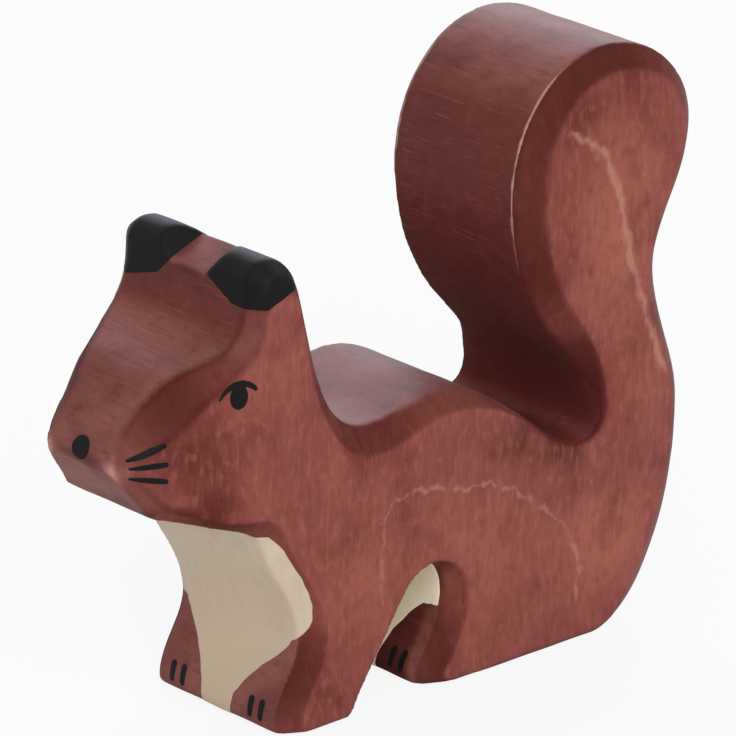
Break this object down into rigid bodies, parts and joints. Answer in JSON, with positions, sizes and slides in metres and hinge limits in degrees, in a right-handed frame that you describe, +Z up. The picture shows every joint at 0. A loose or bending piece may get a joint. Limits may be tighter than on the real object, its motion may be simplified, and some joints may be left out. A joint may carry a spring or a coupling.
{
  "type": "squirrel figurine",
  "caption": "Carved wooden squirrel figurine with an upright bushy tail, stained reddish brown, with a painted cream breast and black ear tips, eyes, nose, whiskers and claws.",
  "frame": {"origin": "centre of the figure's length and width, at floor level under the paws", "axes": "-X towards the nose, +X towards the tail, -Y towards the squirrel's left side, +Z up"},
  "size_m": [0.0829, 0.0246, 0.0711],
  "materials": {
    "stained_wood": "satin reddish-brown stain over close grain",
    "cream_paint": "matt brushed paint",
    "black_paint": "satin brushed paint"
  },
  "bodies": {
    "root": {"belly_paint": "cream_paint", "breast_paint": "cream_paint", "ear_tip_left": "black_paint", "ear_tip_right": "black_paint", "eye_left": "black_paint", "eye_right": "black_paint", "front_claw_inner_left": "black_paint", "front_claw_inner_right": "black_paint", "front_claw_outer_left": "black_paint", "front_claw_outer_right": "black_paint", "hind_claw_inner_left": "black_paint", "hind_claw_inner_right": "black_paint", "hind_claw_outer_left": "black_paint", "hind_claw_outer_right": "black_paint", "nose_paint": "black_paint", "whisker_lower_left": "black_paint", "whisker_lower_right": "black_paint", "whisker_middle_left": "black_paint", "whisker_middle_right": "black_paint", "whisker_upper_left": "black_paint", "whisker_upper_right": "black_paint", "wooden_body": "stained_wood"}
  },
  "joints": []
}
